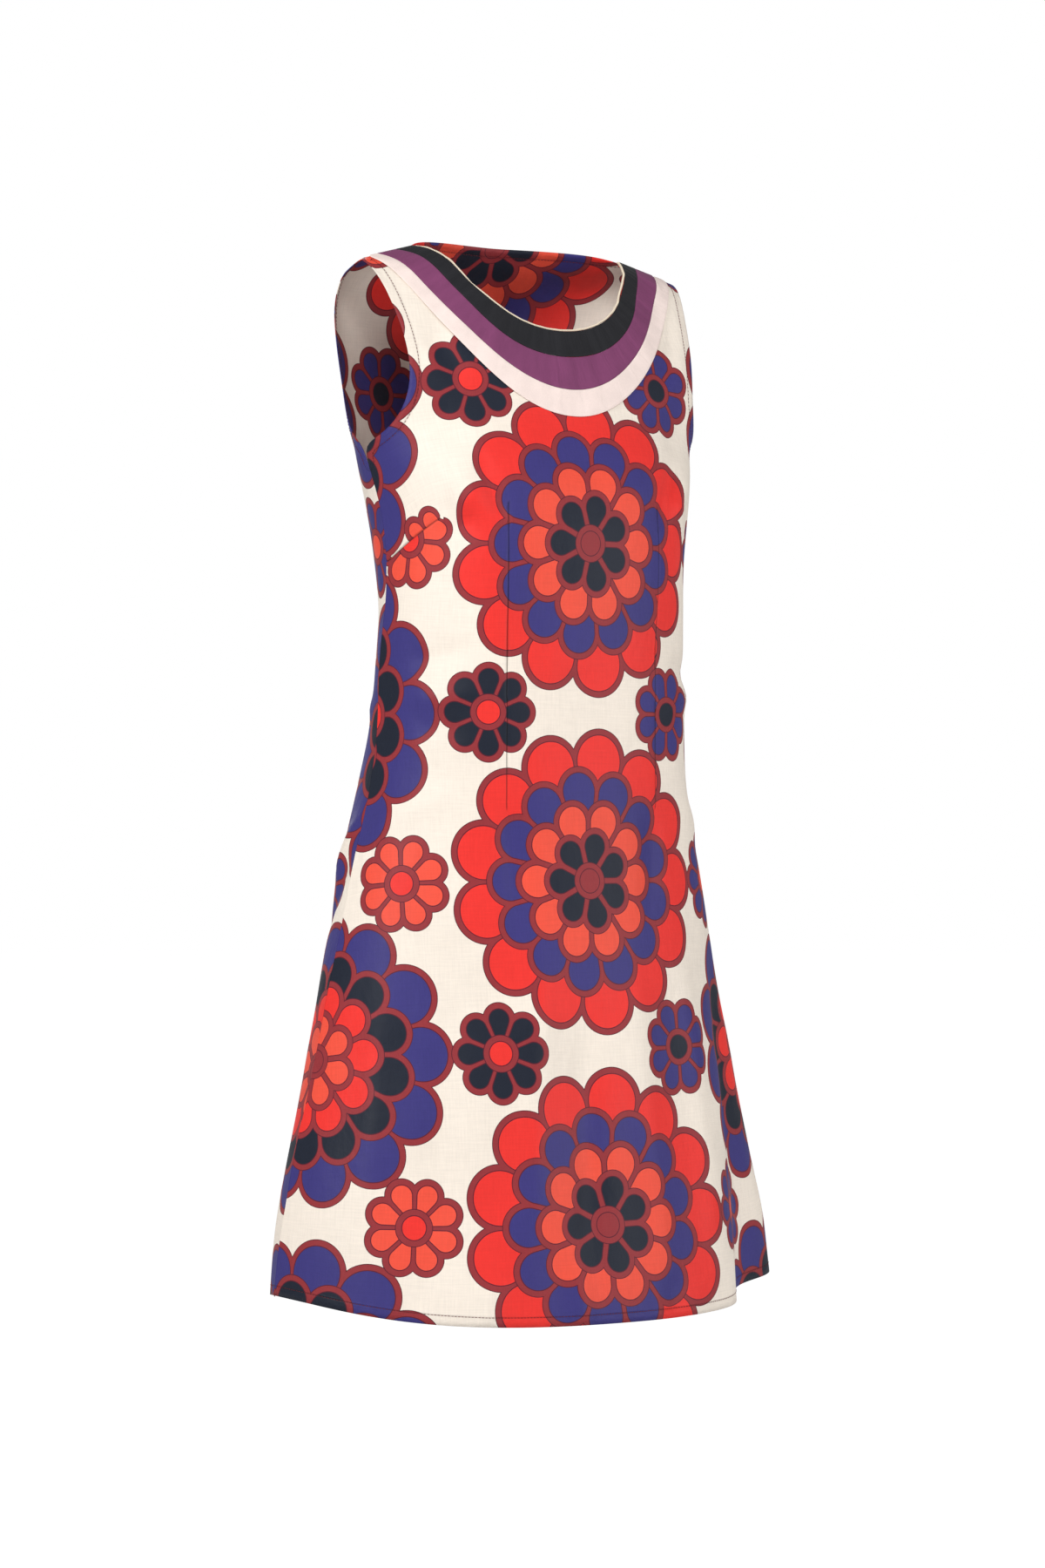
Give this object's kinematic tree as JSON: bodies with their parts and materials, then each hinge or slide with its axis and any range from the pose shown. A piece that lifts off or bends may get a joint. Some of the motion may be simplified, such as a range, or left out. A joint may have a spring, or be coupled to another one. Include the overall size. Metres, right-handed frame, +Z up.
{
  "type": "shift dress",
  "caption": "Sleeveless knee-length A-line shift dress, hollow as worn, with open neck, armholes and hem and a banded round neckline.",
  "frame": {"origin": "on the centre plane, level with the points where the shoulder seams reach the neck and 12 mm before them, where the wearer's shoulders carry the dress", "axes": "+Z up along the dress, -Y the front, +X the wearer's left"},
  "size_m": [0.5516, 0.3104, 1.0161],
  "materials": {
    "printed_cloth": "light crisp cotton, plain weave, printed in red, orange, violet, navy and maroon on cream",
    "black_band": "smooth cotton with a soft sheen",
    "purple_band": "smooth cotton with a soft sheen",
    "pale_band": "smooth cotton with a soft sheen",
    "cream_piping": "soft twisted cotton cord"
  },
  "bodies": {
    "root": {"front_panel": "printed_cloth", "back_panel": "printed_cloth", "neck_band_black": "black_band", "neck_band_purple": "purple_band", "neck_band_pale": "pale_band", "neck_piping": "cream_piping"}
  },
  "joints": []
}
